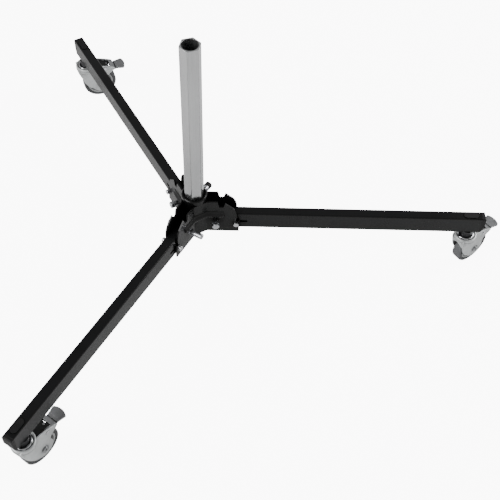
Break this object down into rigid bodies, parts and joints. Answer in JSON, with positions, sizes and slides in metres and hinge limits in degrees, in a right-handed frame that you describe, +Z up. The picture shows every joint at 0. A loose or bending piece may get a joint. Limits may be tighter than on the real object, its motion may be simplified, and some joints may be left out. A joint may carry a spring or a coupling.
{
  "type": "rolling folding stand base",
  "caption": "Folding three-leg rolling stand base: rectangular legs on braked swivel casters, plate hub, spring lock pins and a hexagonal column with an open round bore.",
  "frame": {"origin": "on the floor, on the column's axis", "axes": "+Z up along the column, +X along the first leg; the other legs are 120 and 240 degrees round +Z"},
  "size_m": [0.9008, 0.998, 0.551],
  "materials": {
    "hub_paint": "satin black powder coat",
    "leg_paint": "satin black powder coat",
    "plug_plastic": "fine moulded texture",
    "knob_plastic": "fine moulded texture",
    "column_metal": "satin anodised",
    "bolt_zinc": "bright zinc plate",
    "pin_steel": "turned steel",
    "spring_steel": "spring steel",
    "stem_steel": "zinc plate, greased",
    "ring_chrome": "polished",
    "fork_zinc": "satin silver coat on pressed steel",
    "axle_steel": "zinc plate",
    "tyre_rubber": "grey non-marking rubber",
    "core_plastic": "light grey moulding",
    "pedal_zinc": "satin grey coat",
    "block_plastic": "black moulding"
  },
  "bodies": {
    "hub": {"hub_tube": "hub_paint", "collar_ring": "hub_paint", "hub_floor": "hub_paint", "clamp_boss": "bolt_zinc", "bracket_1": "hub_paint", "bracket_2": "hub_paint", "bracket_3": "hub_paint", "pivot_bolt_1": "bolt_zinc", "pivot_bolt_2": "bolt_zinc", "pivot_bolt_3": "bolt_zinc", "pivot_nut_1": "bolt_zinc", "pivot_nut_2": "bolt_zinc", "pivot_nut_3": "bolt_zinc"},
    "column": {"column": "column_metal"},
    "clamp": {"clamp_screw": "bolt_zinc", "clamp_knob": "knob_plastic"},
    "leg_1": {"leg_tube_1": "leg_paint", "end_plug_1": "plug_plastic", "leg_cap_1": "plug_plastic", "stem_1": "stem_steel", "lock_spring_1": "spring_steel"},
    "pin_1": {"lock_pin_1": "pin_steel"},
    "fork_1": {"fork_1": "fork_zinc", "race_ring_1": "ring_chrome", "axle_1": "axle_steel", "brake_block_1": "block_plastic", "brake_pin_1": "pin_steel"},
    "wheel_1": {"tyre_1": "tyre_rubber", "wheel_core_1": "core_plastic"},
    "brake_1": {"pedal_1": "pedal_zinc"},
    "leg_2": {"leg_tube_2": "leg_paint", "end_plug_2": "plug_plastic", "leg_cap_2": "plug_plastic", "stem_2": "stem_steel", "lock_spring_2": "spring_steel"},
    "pin_2": {"lock_pin_2": "pin_steel"},
    "fork_2": {"fork_2": "fork_zinc", "race_ring_2": "ring_chrome", "axle_2": "axle_steel", "brake_block_2": "block_plastic", "brake_pin_2": "pin_steel"},
    "wheel_2": {"tyre_2": "tyre_rubber", "wheel_core_2": "core_plastic"},
    "brake_2": {"pedal_2": "pedal_zinc"},
    "leg_3": {"leg_tube_3": "leg_paint", "end_plug_3": "plug_plastic", "leg_cap_3": "plug_plastic", "stem_3": "stem_steel", "lock_spring_3": "spring_steel"},
    "pin_3": {"lock_pin_3": "pin_steel"},
    "fork_3": {"fork_3": "fork_zinc", "race_ring_3": "ring_chrome", "axle_3": "axle_steel", "brake_block_3": "block_plastic", "brake_pin_3": "pin_steel"},
    "wheel_3": {"tyre_3": "tyre_rubber", "wheel_core_3": "core_plastic"},
    "brake_3": {"pedal_3": "pedal_zinc"}
  },
  "joints": [
    {"name": "column_lift", "type": "slide", "parent": "hub", "child": "column", "axis": [0, 0, 1], "range_m": [0, 0.06]},
    {"name": "clamp_turn", "type": "hinge", "parent": "hub", "child": "clamp", "pos_m": [0.0225, 0.03897, 0.168], "axis": [0.5, 0.866, 0], "range_deg": [-360, 0]},
    {"name": "leg_fold_1", "type": "hinge", "parent": "hub", "child": "leg_1", "pos_m": [0.041, 0, 0.132], "axis": [0, -1, 0], "range_deg": [0, 90]},
    {"name": "pin_slide_1", "type": "slide", "parent": "leg_1", "child": "pin_1", "axis": [1, 0, 0], "range_m": [0, 0.0182], "deforming": ["lock_spring_1"]},
    {"name": "swivel_1", "type": "hinge", "parent": "leg_1", "child": "fork_1", "pos_m": [0.534, 0, 0.09], "axis": [0, 0, 1], "continuous": true},
    {"name": "wheel_spin_1", "type": "hinge", "parent": "fork_1", "child": "wheel_1", "pos_m": [0.55463, 0.01583, 0.0375], "axis": [-0.6088, 0.7934, 0], "continuous": true},
    {"name": "brake_press_1", "type": "hinge", "parent": "fork_1", "child": "brake_1", "pos_m": [0.56573, 0.02435, 0.079], "axis": [-0.6088, 0.7934, 0], "range_deg": [0, 10]},
    {"name": "leg_fold_2", "type": "hinge", "parent": "hub", "child": "leg_2", "pos_m": [-0.0205, 0.03551, 0.132], "axis": [0.866, 0.5, 0], "range_deg": [0, 90]},
    {"name": "pin_slide_2", "type": "slide", "parent": "leg_2", "child": "pin_2", "axis": [-0.5, 0.866, 0], "range_m": [0, 0.0182], "deforming": ["lock_spring_2"]},
    {"name": "swivel_2", "type": "hinge", "parent": "leg_2", "child": "fork_2", "pos_m": [-0.267, 0.46246, 0.09], "axis": [0, 0, 1], "continuous": true},
    {"name": "wheel_spin_2", "type": "hinge", "parent": "fork_2", "child": "wheel_2", "pos_m": [-0.24273, 0.47177, 0.0375], "axis": [-0.3584, 0.9336, 0], "continuous": true},
    {"name": "brake_press_2", "type": "hinge", "parent": "fork_2", "child": "brake_2", "pos_m": [-0.22966, 0.47679, 0.079], "axis": [-0.3584, 0.9336, 0], "range_deg": [0, 10]},
    {"name": "leg_fold_3", "type": "hinge", "parent": "hub", "child": "leg_3", "pos_m": [-0.0205, -0.03551, 0.132], "axis": [-0.866, 0.5, 0], "range_deg": [0, 90]},
    {"name": "pin_slide_3", "type": "slide", "parent": "leg_3", "child": "pin_3", "axis": [-0.5, -0.866, 0], "range_m": [0, 0.0182], "deforming": ["lock_spring_3"]},
    {"name": "swivel_3", "type": "hinge", "parent": "leg_3", "child": "fork_3", "pos_m": [-0.267, -0.46246, 0.09], "axis": [0, 0, 1], "continuous": true},
    {"name": "wheel_spin_3", "type": "hinge", "parent": "fork_3", "child": "wheel_3", "pos_m": [-0.25135, -0.44169, 0.0375], "axis": [-0.7986, 0.6018, 0], "continuous": true},
    {"name": "brake_press_3", "type": "hinge", "parent": "fork_3", "child": "brake_3", "pos_m": [-0.24293, -0.43051, 0.079], "axis": [-0.7986, 0.6018, 0], "range_deg": [0, 10]}
  ],
  "couplings": [
    {"joint": "pin_slide_1", "follows": "leg_fold_1", "m_per_rad": 0.011459},
    {"joint": "pin_slide_2", "follows": "leg_fold_2", "m_per_rad": 0.011459},
    {"joint": "pin_slide_3", "follows": "leg_fold_3", "m_per_rad": 0.011459}
  ]
}
